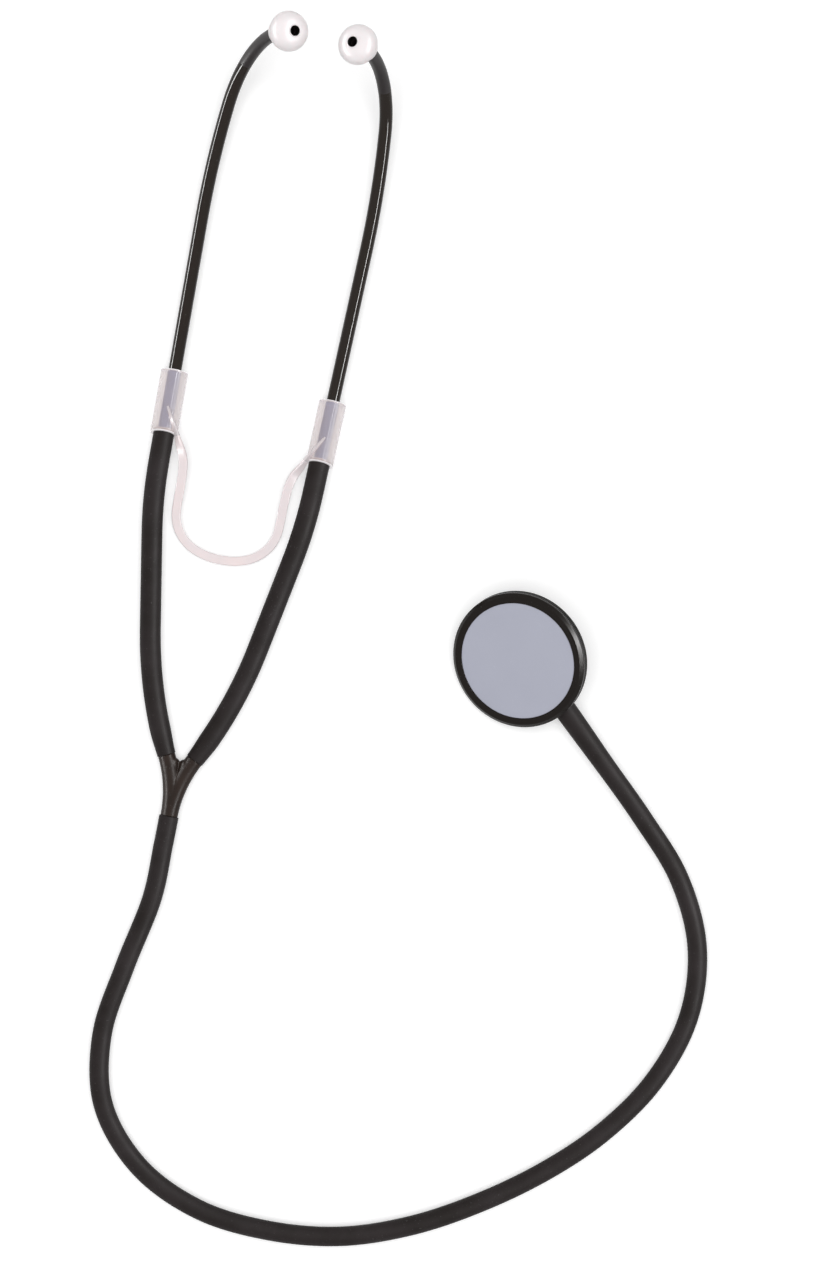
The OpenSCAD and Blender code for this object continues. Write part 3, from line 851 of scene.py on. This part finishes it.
def build_branch_hoses(scene):
    hose, fork = scene.stethoscope_hose, scene.stethoscope_fork
    overlap = 1 * MM
    stiff = scene.stethoscope_ear.insert + overlap

    def radius_at(d):
        return (hose.branch_diameter - hose.pinch * eased(1 - d / hose.taper)) / 2

    for side in (LEFT, RIGHT):
        line = branch_line(hose, fork, side)
        stations = tube_stations(line, radius_at, hose.branch_bore, hose.lip, SHORT_STEP)
        points, faces = swept(line, stations, TUBE_SIDES, closed=True)
        obj = mesh_object(NAME[side] + "_branch_hose", points, faces, hose_rubber(hose), sharp=70)
        settle(obj, nodes=[NAME[side] + "_branch_tube"])
        hide_lamp(STRIP[LEFT], obj)
        held = line.at(line.length - stiff)[0]
        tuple(line.points[0])
        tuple(held)
        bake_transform(obj)


def inner_rod(fork, side):
    """Points and faces of a rod along an arm's inner side, which narrows the crotch to a crease."""
    foot, foot_edge, nose, nose_edge = 2 * MM, 0.5 * MM, 0.8 * MM, 0.3 * MM
    start = Vector((0, foot, 0))
    turn = math.asin((fork.web_top - start.y) / fork.inner_curve)
    spin = FORK.to_3x3()
    line = Line(bent_line(
        FORK @ start, spin @ Vector((0, 1, 0)), spin @ Vector((side, 0, 0)),
        [(fork.inner_curve * turn, fork.inner_curve)],
    ))
    r, end = fork.web / 2, line.length
    stations = [
        (0, 0), (0, r - foot_edge), (foot_edge, r), (end - nose, r), (end - nose_edge, r - nose_edge),
        (end, r - nose), (end, 0),
    ]
    return swept(line, stations, ROD_SIDES, closed=False)


def build_fork(scene):
    fork = scene.stethoscope_fork
    obj = cast_copy("y_connector", "fork_moulding")
    work = bmesh.new()
    work.from_mesh(obj.data)
    for side in (LEFT, RIGHT):
        points, faces = inner_rod(fork, side)
        corners = [work.verts.new(p) for p in points]
        for face in faces:
            work.faces.new([corners[k] for k in face])
    bmesh.ops.recalc_face_normals(work, faces=work.faces)
    work.to_mesh(obj.data)
    work.free()
    skin = obj.modifiers.new("Skin", "REMESH")
    skin.mode = "VOXEL"
    skin.voxel_size = fork.voxel
    ease = obj.modifiers.new("Ease", "SMOOTH")
    ease.factor = 0.5
    ease.iterations = 14
    dress(applied(obj), fork_plastic(fork), sharp=80)
    settle(obj, "hub", ["y_connector"])


# Half the strap, from its root's tip on a sleeve to the middle: shares of the sleeve's distance from the
# fork's axis, of the strap's drop, of the sleeve's radius upwards, and of a quarter turn of its flat side
STRAP_SHARES = [
    (1.01, 0.25, 1, 0.1), (0.855, 0.055, 0.76, 0.55), (0.775, -0.062, 0.66, 0.5), (0.712, -0.15, 0.6, 0.3),
    (0.675, -0.255, 0.48, 0.1), (0.662, -0.4, 0.3, 0), (0.66, -0.55, 0.1, 0), (0.645, -0.7, -0.1, 0),
    (0.562, -0.831, -0.22, 0), (0.41, -0.93, -0.3, 0), (0.209, -0.985, -0.34, 0), (0, -1, -0.35, 0),
]


def strap_half_points(sleeve, side, per_span):
    """Points of half the strap in the fork's frame, and its angle about the path at each of them."""
    at = FORK.inverted() @ arm_axis(side)[0]
    drop, radius = sleeve.strap_drop, sleeve.diameter / 2
    half = [Vector((at.x * x, at.y + y * drop, z * radius)) for x, y, z, _ in STRAP_SHARES]
    mirrored = Vector((-half[-2].x, half[-2].y, half[-2].z))
    turns = [Vector((side * QUARTER_TURN * turn, 0, 0)) for *_, turn in STRAP_SHARES]
    path = spline(half + [mirrored], per_span)[:-per_span]
    angles = [v.x for v in spline(turns + [-turns[-2]], per_span)[:-per_span]]
    return path, angles


def strap_outline(width, thickness, corner):
    """Rounded outline of the strap's section."""
    w, t = width / 2, thickness / 2
    return rounded([(w, -t, corner), (w, t, corner), (-w, t, corner), (-w, -t, corner)], closed=True, steps=4)


def strap_frame(path, i, turn):
    """Directions of the strap's width and thickness at a point of its path."""
    along = (path[min(i + 1, len(path) - 1)] - path[max(i - 1, 0)]).normalized()
    flat = along.cross(Vector((0, 0, 1))).normalized()
    thick = flat.cross(along)
    return flat * math.cos(turn) + thick * math.sin(turn), thick * math.cos(turn) - flat * math.sin(turn)


def build_strap(scene):
    sleeve = scene.stethoscope_sleeve
    per_span = 6
    # Rings of the tapered root and of its see-through part, and the least shares of its width and thickness
    root, clear = 2 * per_span, 2 * per_span - 4
    narrowest, thinnest = 0.2, 0.5
    outline = strap_outline(sleeve.strap_width, sleeve.strap_thickness, sleeve.strap_corner)
    for side in (LEFT, RIGHT):
        path, angles = strap_half_points(sleeve, side, per_span)
        rings = []
        for i, at in enumerate(path):
            wide, deep = strap_frame(path, i, angles[i])
            if i == len(path) - 1:
                wide, deep = Vector((0, wide.y, wide.z)).normalized(), Vector((0, 0, 1))
            grow = 1 if i >= root else narrowest + (1 - narrowest) * i / root
            thick = max(grow, thinnest)
            rings.append([FORK @ (at + grow * x * wide + thick * y * deep) for x, y in outline])
        points, faces = skinned(rings, closed=False)
        count = len(outline)
        faces += [tuple(range(count)), tuple(reversed(range(len(points) - count, len(points))))]
        obj = mesh_object(NAME[side] + "_strap_half", points, faces, strap_vinyl(sleeve), sharp=60)
        obj.data.materials.append(sleeve_vinyl(sleeve, "Milky strap root", sleeve.strap, veil=0.7))
        for face in obj.data.polygons[:clear * count]:
            face.material_index = 1
        settle(obj, nodes=["tension_strap"])
        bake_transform(obj)


def build_sleeves(scene):
    sleeve = scene.stethoscope_sleeve
    for side in (LEFT, RIGHT):
        at, along = arm_axis(side)
        outer, bore, socket = sleeve.diameter / 2, sleeve.bore / 2, sleeve.socket / 2
        r = sleeve.rounding
        outline = rounded([
            (socket, 0, r / 3), (outer, 0, r), (outer, sleeve.length, r), (bore, sleeve.length, r / 2),
            (bore, sleeve.socket_depth, 0), (socket, sleeve.socket_depth, 0),
        ], closed=True)
        points, faces = turned(outline, Matrix.Identity(4), TURNED_SIDES)
        # Both ends slant, the one at the hose more than the one at the ear tube
        low, top = math.tan(sleeve.low_slant), math.tan(sleeve.top_slant)
        for p in points:
            p.z += p.y * (low + (top - low) * p.z / sleeve.length)
        place = facing(at, along)
        points = [place @ p for p in points]
        skin = sleeve_vinyl(sleeve, "Milky sleeve vinyl", sleeve.wall, sleeve.veil)
        obj = mesh_object(NAME[side] + "_sleeve", points, faces, skin)
        inside = sleeve_vinyl(sleeve, "Milky sleeve bore", sleeve.core, sleeve.core_veil, cloud_share=0.15)
        # Painted highlight: the cut ends get a paler, less see-through vinyl with a painted glow
        painted_glow_rims = sleeve_vinyl(sleeve, "Milky sleeve rim", sleeve.rim, veil=0.85, glow=0.15)
        line_with(obj, inside, at, along, (bore + outer) / 2, painted_glow_rims)
        settle(obj, NAME[side] + "_arm", [NAME[side] + "_collar"])
        hide_lamp(STRIP[LEFT], obj)


def build_ear_tubes(scene):
    ear = scene.stethoscope_ear
    radius = ear.tube_diameter / 2
    bore = 2 * (radius - ear.tube_wall)
    for side in (LEFT, RIGHT):
        at, along = arm_axis(side)
        stretches = ear_stretches(ear, ear.insert, ear.end)
        line = Line(bent_line(at - along * ear.insert, along, tip_axis(side), stretches, step=1 * MM))
        stations = tube_stations(line, lambda d: radius, bore, ear.tube_lip, SHORT_STEP)
        points, faces = swept(line, stations, TUBE_SIDES, closed=True)
        obj = mesh_object(NAME[side] + "_ear_tube_painted", points, faces, tube_paint(ear), sharp=70)
        # The stretch near the tip gets the satin paint with its painted sheen colour
        obj.data.materials.append(tube_satin(ear))
        for face in obj.data.polygons:
            first = face.index // TUBE_SIDES
            nearest = min(stations[first][0], stations[(first + 1) % len(stations)][0])
            if nearest > line.length - ear.satin:
                face.material_index = 1
        settle(obj, NAME[side] + "_ear", [NAME[side] + "_ear_tube"])
        hide_lamp(STRIP[-side], obj)


def tip_outline(ear):
    """Outline of an ear tip: the bulb's side, the mouth of the sound hole, and the socket with its skirt."""
    hole, inner, skirt = ear.tip_hole / 2, ear.tube_diameter / 2 + FIT, ear.skirt_diameter / 2
    crown = ear.tip_diameter / 2 - ear.tip_round
    stop = 0.3 * MM
    lip_top, seat = ear.tip_round + ear.tip_lip, ear.tip_seat + stop
    lip_foot, lip_crest, lip_edge = 0.45 * MM, 0.3 * MM, 0.2 * MM
    skirt_wall, skirt_step, skirt_swell, funnel = 0.45 * MM, 0.05 * MM, 0.55 * MM, 1.5 * MM
    swell_share = 0.62
    side_arc = [math.radians(a) for a in range(-14, 85, 7)]
    bulb = [(crown + ear.tip_round * math.cos(a), ear.tip_round * math.sin(a)) for a in side_arc]
    mouth = rounded([
        (crown, ear.tip_round, 0), (hole + lip_foot, ear.tip_round, lip_edge),
        (hole + lip_crest, lip_top, lip_edge), (hole, lip_top, lip_edge), (hole, seat, 0),
    ])
    socket = rounded([
        (inner, seat, 0), (inner, funnel - ear.tip_skirt, 0.6 * MM),
        (skirt - skirt_wall, skirt_step - ear.tip_skirt, 0.2 * MM), (skirt, -ear.tip_skirt, 0.25 * MM),
        (skirt + skirt_swell, -swell_share * ear.tip_skirt, 1.5 * MM), (*bulb[0], 0),
    ])
    return bulb + mouth + socket[:-1]


def build_ear_tips(scene):
    ear = scene.stethoscope_ear
    margin = 0.04 * MM
    for side in (LEFT, RIGHT):
        at, along = arm_axis(side)
        pointing = tip_axis(side)
        middle = bent_line(at, along, pointing, ear_stretches(ear, 0, ear.end - ear.tip_seat))[-1]
        points, faces = turned(tip_outline(ear), facing(middle, pointing), TURNED_SIDES)
        obj = mesh_object(NAME[side] + "_ear_tip_soft", points, faces, tip_silicone(ear), sharp=50)
        # The sound hole's walls get the painted shade
        line_with(obj, hole_shade(ear), middle, pointing, ear.tip_hole / 2 + margin)
        settle(obj, NAME[side] + "_tip", [NAME[side] + "_ear_tip"])


def add_boss(head):
    """Adds the boss on the body's side, with the hole that holds the stem."""
    boss, hole, floor = head.boss / 2, head.stem_hole / 2, head.boss_reach - head.stem_depth
    outline = rounded([
        (0, 0, 0), (boss, 0, 0), (boss, head.boss_reach, 0.5 * MM), (hole, head.boss_reach, 0.2 * MM),
        (hole, floor, 0), (0, floor, 0),
    ])
    points, faces = turned(outline, ALONG_STEM, TURNED_SIDES, closed=False)
    obj = mesh_object("stem_boss", points, faces, head_plastic(head), sharp=45)
    settle(obj, "chest_piece", ["chest_body"])


def build_head_body(scene):
    head = scene.stethoscope_head
    rim, hub = head.rim / 2, head.hub / 2
    seat = head.ring_back + head.ring_height - head.lip - head.film_gap - head.film
    flange = head.ring_back + 0.15 * MM
    plain, run_out, ledge, rows = 0.1 * MM, 0.3 * MM, 1 * MM, 32
    low, high = flange + plain, seat - plain
    back = rounded([
        (0, -head.hub_back, 0), (hub, -head.hub_back, 1 * MM), (head.boss_reach, flange, 0.8 * MM),
        (rim, flange, 0.15 * MM),
    ])[:-1]
    thread = [(rim, low + (high - low) * k / rows) for k in range(rows + 1)]
    inside = rim - head.rim_wall
    hollow = rounded([
        (rim, seat, 0), (inside, seat, 0.3 * MM), (inside, seat - ledge, 0.3 * MM),
        (head.dish_floor / 2, seat - head.dish, 0.5 * MM), (0, seat - head.dish, 0),
    ])

    def threaded(r, z, a):
        """The radius at a height and an angle, with the thread cut into the rim."""
        if abs(r - rim) > TINY or not low <= z <= high:
            return r
        share = min(1, (z - low) / run_out, (high - z) / run_out)
        return r - head.thread_depth * share * (0.5 - 0.5 * math.cos(2 * math.pi * z / head.pitch - a))

    points, faces = turned(back + thread + hollow, HEAD, BODY_SIDES, closed=False, reshape=threaded)
    obj = mesh_object("head_body", points, faces, head_plastic(head), sharp=45)
    settle(obj, "chest_piece", ["chest_body"])
    add_boss(head)
    frame["nodes"]["chest_stem"].data.materials.clear()
    frame["nodes"]["chest_stem"].data.materials.append(stem_metal(head))


def build_ring(scene):
    head = scene.stethoscope_head
    outer, opening, inner = head.ring_diameter / 2, head.opening / 2, head.rim / 2 + FIT
    back, front = head.ring_back, head.ring_back + head.ring_height
    grip_top = front - head.band
    lip = front - head.lip
    plain, rows = 0.35 * MM, 8
    fade_start, fade = 0.2 * MM, 0.4 * MM
    bead_foot, bead_width, opening_edge = 0.1 * MM, 1.03 * head.bead, 0.28 * MM
    rise = [back + plain + (grip_top - back - 2 * plain) * k / rows for k in range(rows + 1)]
    skirt = rounded([(inner, back, 0.1 * MM), (outer, back, 0.2 * MM), (outer, rise[0], 0)])[:-1]
    bead = rounded([
        (outer, grip_top - bead_foot, 0), (outer, front - head.bead, 0.35 * MM),
        (outer - bead_width, front, 0.6 * MM), (opening, lip + opening_edge, 0.12 * MM),
        (opening, lip, 0.05 * MM), (inner, lip, 0), (inner, back, 0),
    ])[:-1]

    def gripped(r, z, a):
        """The radius at a height and an angle, with the grooves cut into the grip."""
        if r < outer - 0.01 * MM or not rise[0] - TINY <= z <= rise[-1] + TINY:
            return r
        groove = 0.5 - 0.5 * math.cos(a * head.ridges)
        soft = min(1, (z - back - fade_start) / fade, (grip_top - z) / fade)
        return r - head.ridge_depth * groove * max(0, soft)

    outline = skirt + [(outer, z) for z in rise] + bead
    sides = 4 * head.ridges
    points, faces = turned(outline, HEAD, sides, reshape=gripped)
    obj = mesh_object("knurled_ring", points, faces, head_plastic(head), sharp=50)
    settle(obj, "ring", ["retaining_ring"])
    hide_lamp(STRIP[LEFT], obj)


def build_diaphragm(scene):
    head = scene.stethoscope_head
    top = head.ring_back + head.ring_height - head.lip - head.film_gap
    gap, corner = 0.3 * MM, 0.1 * MM
    edge = head.rim / 2 - gap
    outline = rounded([
        (0, top - head.film, 0), (edge, top - head.film, corner), (edge, top, corner), (0, top, 0),
    ])
    points, faces = turned(outline, HEAD, FILM_SIDES, closed=False)
    obj = mesh_object("diaphragm_film", points, faces, film_finish(head), sharp=50)
    settle(obj, "film", ["diaphragm"])


# Stage

WHITE = (1, 1, 1, 1)
TABLE_SIZE = 12
FARTHEST_VIEW = 20

# Place and size of each lamp, in metres
OVERHEAD = ((0, -0.25, 9.5), (9, 9))
STRIPS = {LEFT: ((-1.35, 0.2, 0.45), (1.8, 0.2)), RIGHT: ((1, 0.1, 1.02), (1.8, 0.18))}


def background_rays(tree):
    """1 for the rays that show the background: the camera's, mirrored ones and those through clear parts."""
    rays = tree.nodes.new("ShaderNodeLightPath")
    seen = rays.outputs["Is Camera Ray"]
    for label in ("Is Glossy Ray", "Is Transmission Ray"):
        seen = combined(tree, "MAXIMUM", seen, rays.outputs[label])
    return seen


def table_material(stage):
    """A pale table that shows as white to the camera and still takes the object's shadow."""
    material = bpy.data.materials.new("Pale table")
    material.use_nodes = True
    tree = material.node_tree
    shader = next(n for n in tree.nodes if n.type == "BSDF_PRINCIPLED")
    shader.inputs["Base Color"].default_value = (*stage.table, 1)
    shader.inputs["Roughness"].default_value = 0.9
    shader.inputs["Specular IOR Level"].default_value = 0.1
    shader.inputs["Emission Color"].default_value = WHITE
    glow = combined(tree, "MULTIPLY", background_rays(tree), stage.glow)
    tree.links.new(glow, shader.inputs["Emission Strength"])
    return material


def softbox(name, at, size, power, mirrored):
    """A rectangular lamp that faces the object, and gives it either the highlights or the plain light."""
    light = bpy.data.lights.new(name, "AREA")
    light.shape = "RECTANGLE"
    light.size, light.size_y = size
    light.energy = power
    obj = bpy.data.objects.new(name, light)
    bpy.context.scene.collection.objects.link(obj)
    obj.location = at
    obj.rotation_euler = (Vector((0, at[1], 0)) - Vector(at)).to_track_quat("-Z", "Y").to_euler()
    obj.visible_glossy = mirrored
    obj.visible_diffuse = not mirrored


def build_stage(scene):
    stage = scene.stethoscope_stage
    camera = bpy.data.cameras.new("Camera")
    camera.sensor_fit = "VERTICAL"
    camera.sensor_height = 24
    camera.lens = camera.sensor_height * stage.height / stage.view
    camera.clip_end = FARTHEST_VIEW
    eye = bpy.data.objects.new("Camera", camera)
    eye.location = (stage.across, stage.along, stage.height)
    scene.collection.objects.link(eye)
    scene.camera = eye

    bpy.ops.mesh.primitive_plane_add(size=TABLE_SIZE, location=(0, 0, 0))
    table = bpy.context.object
    table.name = "table"
    table.data.materials.append(table_material(stage))

    softbox("Overhead", *OVERHEAD, stage.overhead, mirrored=False)
    for side in (LEFT, RIGHT):
        softbox(STRIP[side], *STRIPS[side], stage.strip, mirrored=True)

    world = bpy.data.worlds.new("Pale studio")
    world.use_nodes = True
    scene.world = world
    tree = world.node_tree
    sky = next(n for n in tree.nodes if n.type == "BACKGROUND")
    sky.inputs["Color"].default_value = WHITE
    tree.links.new(spread(tree, background_rays(tree), 0, 1, stage.sky, 1), sky.inputs["Strength"])
    scene.view_settings.view_transform = "Standard"


class STETHOSCOPE_OT_stage(bpy.types.Operator):
    """Set up the camera, the pale table and the soft light"""
    bl_idname = "stethoscope.stage"
    bl_label = "Stage"
    execute = execute_with(build_stage)


class STETHOSCOPE_OT_main_hose(bpy.types.Operator):
    """Lay the long main hose from the fork round to the chest piece"""
    bl_idname = "stethoscope.main_hose"
    bl_label = "Main hose"
    execute = execute_with(build_main_hose)


class STETHOSCOPE_OT_branch_hoses(bpy.types.Operator):
    """Make the two short hoses between the fork and the sleeves"""
    bl_idname = "stethoscope.branch_hoses"
    bl_label = "Short hoses"
    execute = execute_with(build_branch_hoses)


class STETHOSCOPE_OT_fork(bpy.types.Operator):
    """Make the Y-shaped moulding with its soft edges"""
    bl_idname = "stethoscope.fork"
    bl_label = "Fork"
    execute = execute_with(build_fork)


class STETHOSCOPE_OT_sleeves(bpy.types.Operator):
    """Make the two milky sleeves round the ear tubes and the hoses' ends"""
    bl_idname = "stethoscope.sleeves"
    bl_label = "Sleeves"
    execute = execute_with(build_sleeves)


class STETHOSCOPE_OT_strap(bpy.types.Operator):
    """Make both halves of the strap between the sleeves"""
    bl_idname = "stethoscope.strap"
    bl_label = "Strap"
    execute = execute_with(build_strap)


class STETHOSCOPE_OT_ear_tubes(bpy.types.Operator):
    """Make the two bent and painted ear tubes"""
    bl_idname = "stethoscope.ear_tubes"
    bl_label = "Ear tubes"
    execute = execute_with(build_ear_tubes)


class STETHOSCOPE_OT_ear_tips(bpy.types.Operator):
    """Make the two soft ear tips"""
    bl_idname = "stethoscope.ear_tips"
    bl_label = "Ear tips"
    execute = execute_with(build_ear_tips)


class STETHOSCOPE_OT_head_body(bpy.types.Operator):
    """Make the chest piece's body with its threaded rim and its boss"""
    bl_idname = "stethoscope.head_body"
    bl_label = "Chest piece body"
    execute = execute_with(build_head_body)


class STETHOSCOPE_OT_ring(bpy.types.Operator):
    """Make the knurled ring with its slanting bead"""
    bl_idname = "stethoscope.ring"
    bl_label = "Ring"
    execute = execute_with(build_ring)


class STETHOSCOPE_OT_diaphragm(bpy.types.Operator):
    """Make the diaphragm"""
    bl_idname = "stethoscope.diaphragm"
    bl_label = "Diaphragm"
    execute = execute_with(build_diaphragm)


OPERATORS = (
    STETHOSCOPE_OT_stage, STETHOSCOPE_OT_main_hose, STETHOSCOPE_OT_branch_hoses, STETHOSCOPE_OT_fork,
    STETHOSCOPE_OT_sleeves, STETHOSCOPE_OT_strap, STETHOSCOPE_OT_ear_tubes, STETHOSCOPE_OT_ear_tips,
    STETHOSCOPE_OT_head_body, STETHOSCOPE_OT_ring, STETHOSCOPE_OT_diaphragm,
)
SETTINGS = {
    "stethoscope_stage": StageSettings, "stethoscope_hose": HoseSettings, "stethoscope_fork": ForkSettings,
    "stethoscope_sleeve": SleeveSettings, "stethoscope_ear": EarSettings, "stethoscope_head": HeadSettings,
}


class STETHOSCOPE_PT_pieces(bpy.types.Panel):
    """Lists the pieces of the stethoscope"""
    bl_idname = "STETHOSCOPE_PT_pieces"
    bl_label = "Stethoscope"
    bl_space_type = "VIEW_3D"
    bl_region_type = "UI"
    bl_category = "Stethoscope"

    def draw(self, context):
        for operator in OPERATORS:
            self.layout.operator(operator.bl_idname)
        for name, kind in SETTINGS.items():
            box = self.layout.box()
            for label in kind.__annotations__:
                box.prop(getattr(context.scene, name), label)


def register():
    for kind in (*SETTINGS.values(), *OPERATORS, STETHOSCOPE_PT_pieces):
        bpy.utils.register_class(kind)
    for name, kind in SETTINGS.items():
        setattr(bpy.types.Scene, name, PointerProperty(type=kind))


def unregister():
    for name in SETTINGS:
        delattr(bpy.types.Scene, name)
    for kind in reversed((*SETTINGS.values(), *OPERATORS, STETHOSCOPE_PT_pieces)):
        bpy.utils.unregister_class(kind)


def main():
    register()
    for operator in OPERATORS:
        group, name = operator.bl_idname.split(".")
        getattr(getattr(bpy.ops, group), name)()


if __name__ == "__main__":
    main()
